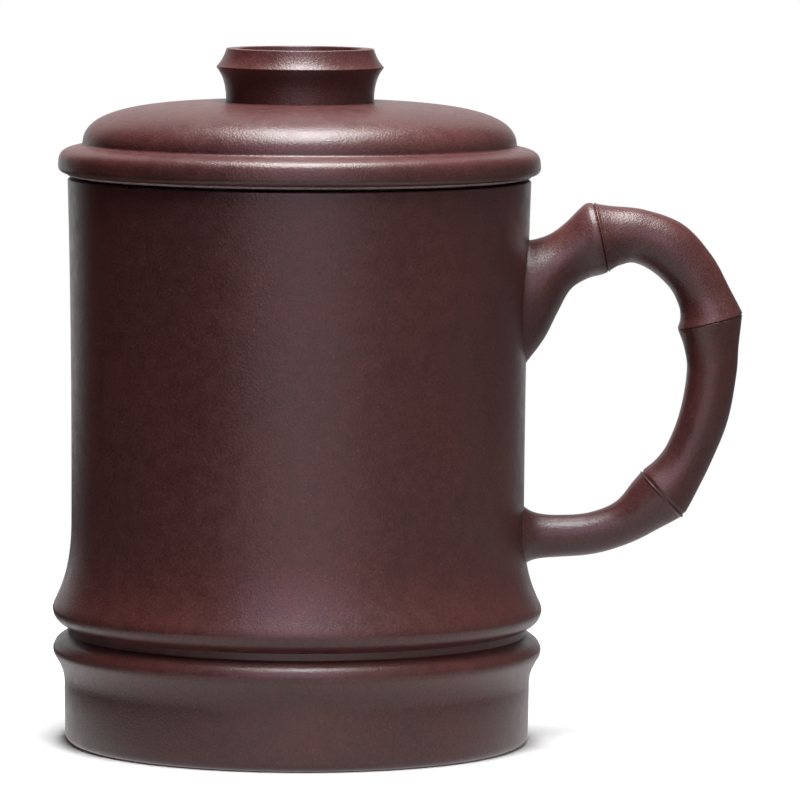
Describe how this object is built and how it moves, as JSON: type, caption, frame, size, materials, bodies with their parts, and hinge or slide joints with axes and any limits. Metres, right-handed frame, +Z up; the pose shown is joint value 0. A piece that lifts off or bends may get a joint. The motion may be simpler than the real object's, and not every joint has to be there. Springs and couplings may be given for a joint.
{
  "type": "lidded tea mug",
  "caption": "Tall stoneware tea mug shaped like a bamboo stem, with a ridged foot, a bent bamboo handle and a loose domed lid with a hollow-topped knob.",
  "frame": {"origin": "on the table, in the middle of the foot ring, on the axis of the cup", "axes": "+Z up along the axis of the cup, +X towards the handle"},
  "size_m": [0.127, 0.0904, 0.128],
  "materials": {
    "purple_clay": "unglazed, burnished to a satin sheen"
  },
  "bodies": {
    "mug": {"cup_wall": "purple_clay", "foot_section": "purple_clay", "base_disc": "purple_clay", "base_coil": "purple_clay", "handle_upper_root": "purple_clay", "handle_arch": "purple_clay", "handle_grip": "purple_clay", "handle_lower_root": "purple_clay"},
    "lid": {"lid_dome": "purple_clay", "lid_brim": "purple_clay", "lid_flange": "purple_clay", "lid_knob": "purple_clay"}
  },
  "joints": [
    {"name": "lid_lift", "type": "slide", "parent": "mug", "child": "lid", "axis": [0, 0, 1], "range_m": [0, 0.06]}
  ]
}
